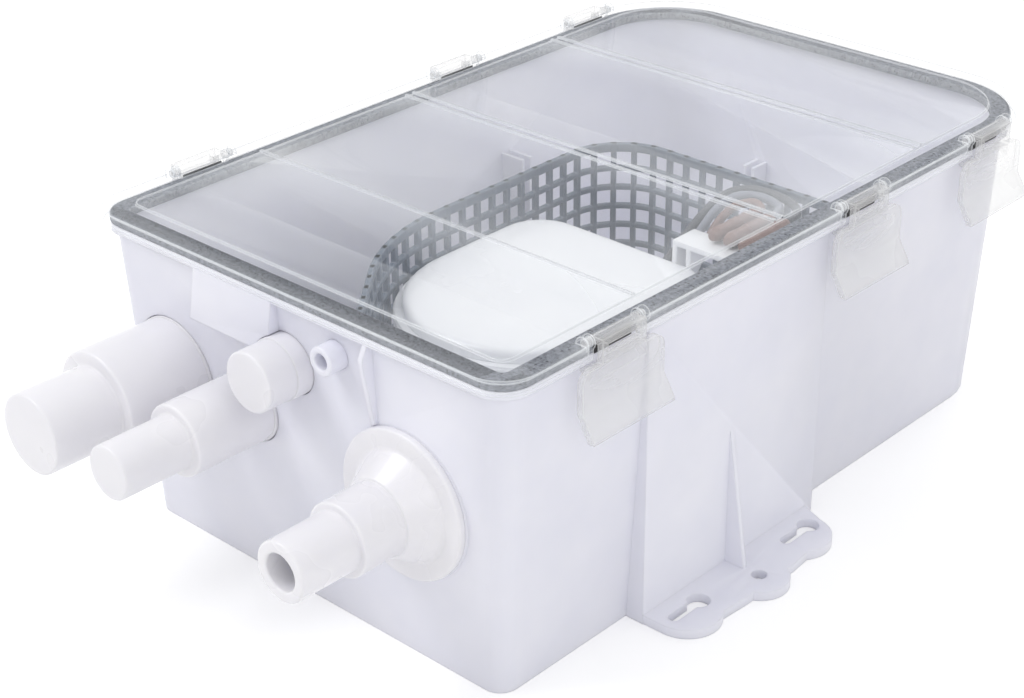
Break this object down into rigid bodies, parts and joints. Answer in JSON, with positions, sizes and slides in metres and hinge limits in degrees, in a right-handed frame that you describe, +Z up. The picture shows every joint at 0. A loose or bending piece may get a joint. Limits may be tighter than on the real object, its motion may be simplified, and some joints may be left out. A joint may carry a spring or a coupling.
{
  "type": "shower sump pump",
  "caption": "Drafted white sump box with a clear clip-down lid, inner strainer fence, automatic pump, blanked stepped inlets and a valved stepped outlet.",
  "frame": {"origin": "centre of the box underside, on the surface that it is screwed to", "axes": "+Z up, +Y along the box away from the ports, +X to the outlet side"},
  "size_m": [0.235, 0.3587, 0.1216],
  "materials": {
    "box_plastic": "frosted moulded plastic",
    "lid_clear": "clear glossy plastic",
    "clip_frosted": "frosted translucent plastic",
    "foam": "closed cell foam",
    "rubber": "moulded rubber",
    "fitting_white": "smooth white plastic",
    "fence_grey": "moulded grey plastic",
    "pump_white": "smooth white plastic",
    "dark_plastic": "moulded plastic",
    "steel": "stainless steel",
    "steel_dark": "painted steel",
    "magnet": "sintered ferrite",
    "copper": "laminations and enamelled wire",
    "float_orange": "foamed plastic",
    "lead_dark": "insulated wire",
    "lead_grey": "insulated wire",
    "lead_brown": "insulated wire",
    "sleeve_brown": "shrunk sleeve"
  },
  "bodies": {
    "root": {"sump_box": "box_plastic", "lid": "lid_clear", "lid_gasket": "foam", "inlet_spigot_large": "fitting_white", "inlet_spigot_medium": "fitting_white", "inlet_spigot_small": "fitting_white", "inlet_seals": "rubber", "cable_gland": "box_plastic", "discharge_fitting": "fitting_white", "discharge_seal": "rubber", "discharge_locknut": "fitting_white", "valve_tail": "fitting_white", "valve_pin": "steel", "outlet_hose": "rubber", "hose_clamps": "steel", "strainer_fence": "fence_grey", "pump_base": "pump_white", "pump_volute": "pump_white", "pump_body": "pump_white", "pump_cover": "pump_white", "base_screws": "steel", "shaft_seal": "rubber", "motor_can": "steel_dark", "motor_magnets": "magnet", "float_pin": "steel", "float_bracket": "pump_white", "float_switch": "dark_plastic", "lead_grommet": "rubber", "pump_lead_dark": "lead_dark", "pump_lead_grey": "lead_grey", "pump_lead_brown": "lead_brown", "lead_connectors": "sleeve_brown"},
    "clip_front_right": {"clip_front_right": "clip_frosted"},
    "clip_mid_right": {"clip_mid_right": "clip_frosted"},
    "clip_rear_right": {"clip_rear_right": "clip_frosted"},
    "clip_front_left": {"clip_front_left": "clip_frosted"},
    "clip_mid_left": {"clip_mid_left": "clip_frosted"},
    "clip_rear_left": {"clip_rear_left": "clip_frosted"},
    "valve_flap": {"valve_flap": "rubber"},
    "float": {"float_arm": "float_orange"},
    "rotor": {"impeller": "dark_plastic", "motor_shaft": "steel", "armature": "copper"}
  },
  "joints": [
    {"name": "clip_front_right_hinge", "type": "hinge", "parent": "root", "child": "clip_front_right", "pos_m": [0.0952, -0.103, 0.119], "axis": [0, -1, 0], "range_deg": [0, 110]},
    {"name": "clip_mid_right_hinge", "type": "hinge", "parent": "root", "child": "clip_mid_right", "pos_m": [0.0952, 0.026, 0.119], "axis": [0, -1, 0], "range_deg": [0, 110]},
    {"name": "clip_rear_right_hinge", "type": "hinge", "parent": "root", "child": "clip_rear_right", "pos_m": [0.0952, 0.1045, 0.119], "axis": [0, -1, 0], "range_deg": [0, 110]},
    {"name": "clip_front_left_hinge", "type": "hinge", "parent": "root", "child": "clip_front_left", "pos_m": [-0.0952, -0.103, 0.119], "axis": [0, 1, 0], "range_deg": [0, 110]},
    {"name": "clip_mid_left_hinge", "type": "hinge", "parent": "root", "child": "clip_mid_left", "pos_m": [-0.0952, 0.026, 0.119], "axis": [0, 1, 0], "range_deg": [0, 110]},
    {"name": "clip_rear_left_hinge", "type": "hinge", "parent": "root", "child": "clip_rear_left", "pos_m": [-0.0952, 0.1045, 0.119], "axis": [0, 1, 0], "range_deg": [0, 110]},
    {"name": "valve_hinge", "type": "hinge", "parent": "root", "child": "valve_flap", "pos_m": [0.0488, -0.15454, 0.067], "axis": [-1, 0, 0], "range_deg": [0, 62]},
    {"name": "float_hinge", "type": "hinge", "parent": "root", "child": "float", "pos_m": [0.042, -0.0144, 0.052], "axis": [0, 1, 0], "range_deg": [0, 18]},
    {"name": "rotor_spin", "type": "hinge", "parent": "root", "child": "rotor", "pos_m": [0.02, -0.058, 0.05], "axis": [0, 0, 1], "continuous": true}
  ]
}
